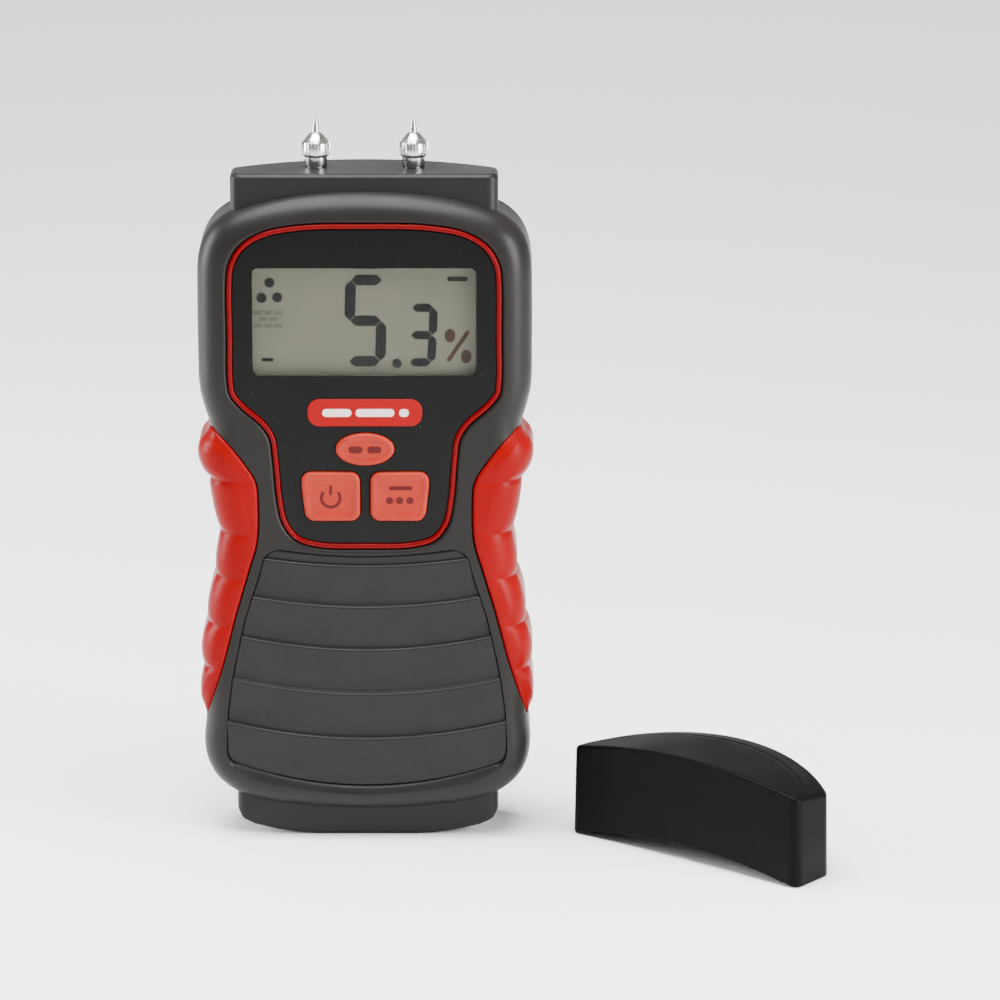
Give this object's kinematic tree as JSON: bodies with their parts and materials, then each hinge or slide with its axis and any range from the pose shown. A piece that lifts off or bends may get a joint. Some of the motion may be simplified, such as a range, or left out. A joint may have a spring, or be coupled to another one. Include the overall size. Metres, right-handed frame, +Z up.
{
  "type": "pin moisture meter",
  "caption": "Hand-held pin moisture meter with a waisted housing, lobed side grips, display panel, needle pins and a loose curved pin cap.",
  "frame": {"origin": "middle of the flat under the foot, on the surface the meter stands on", "axes": "+Z up the meter towards the pins, the display faces -Y, +X to the right seen from the display side"},
  "size_m": [0.1179, 0.0535, 0.1384],
  "materials": {
    "housing": "fine matte texture",
    "grip": "soft satin rubber",
    "pad": "matte ribbed rubber",
    "panel": "polished black",
    "trim": "satin red",
    "badge": "satin red",
    "key": "translucent rubber",
    "window": "clear",
    "display": "liquid crystal display, grey",
    "light_plastic": "white moulded",
    "black_plastic": "black moulded",
    "board": "green coated board",
    "mat": "moulded rubber",
    "nickel": "bright nickel plate",
    "steel": "plain steel",
    "battery_can": "wrapped metal can",
    "foam": "open foam",
    "wire_red": "wire insulation",
    "wire_black": "wire insulation",
    "cap": "black, satin"
  },
  "bodies": {
    "meter": {"front_cover": "housing", "rear_cover": "housing", "grip_left": "grip", "grip_right": "grip", "palm_pad": "pad", "fascia": "panel", "fascia_trim": "trim", "badge": "badge", "display_window": "window", "lcd_glass": "display", "lcd_backlight": "light_plastic", "lcd_connector_strip": "mat", "lcd_frame": "black_plastic", "keypad_mat": "mat", "main_board": "board", "micro_chip": "black_plastic", "buzzer": "black_plastic", "capacitor": "steel", "lead_connector": "light_plastic", "pin_carrier": "light_plastic", "pin_post_left": "nickel", "pin_post_right": "nickel", "pin_nut_left": "nickel", "pin_nut_right": "nickel", "pin_left": "steel", "pin_right": "steel", "pin_contact_left": "nickel", "pin_contact_right": "nickel", "battery": "battery_can", "battery_terminal_positive": "nickel", "battery_terminal_negative": "nickel", "battery_snap": "black_plastic", "battery_lead_red": "wire_red", "battery_lead_black": "wire_black", "case_screw_1": "steel", "board_screw_1": "steel", "case_screw_2": "steel", "board_screw_2": "steel", "case_screw_3": "steel", "board_screw_3": "steel", "case_screw_4": "steel", "board_screw_4": "steel"},
    "power_key": {"power_button": "key"},
    "mode_key": {"mode_button": "key"},
    "hold_key": {"hold_button": "key"},
    "rear_door": {"battery_door": "housing", "battery_foam": "foam"},
    "loose_cap": {"pin_cap": "cap"}
  },
  "joints": [
    {"name": "power_press", "type": "slide", "parent": "meter", "child": "power_key", "axis": [0, 1, 0], "range_m": [0, 0.001], "stiffness_N_per_m": 800},
    {"name": "mode_press", "type": "slide", "parent": "meter", "child": "mode_key", "axis": [0, 1, 0], "range_m": [0, 0.001], "stiffness_N_per_m": 800},
    {"name": "hold_press", "type": "slide", "parent": "meter", "child": "hold_key", "axis": [0, 1, 0], "range_m": [0, 0.001], "stiffness_N_per_m": 800},
    {"name": "door_hinge", "type": "hinge", "parent": "meter", "child": "rear_door", "pos_m": [0, 0.014, 0.0139], "axis": [-1, 0, 0], "range_deg": [0, 80]},
    {"name": "cap_lift", "type": "slide", "parent": "meter", "child": "loose_cap", "axis": [0, 0, 1], "range_m": [0, 0.13]}
  ]
}
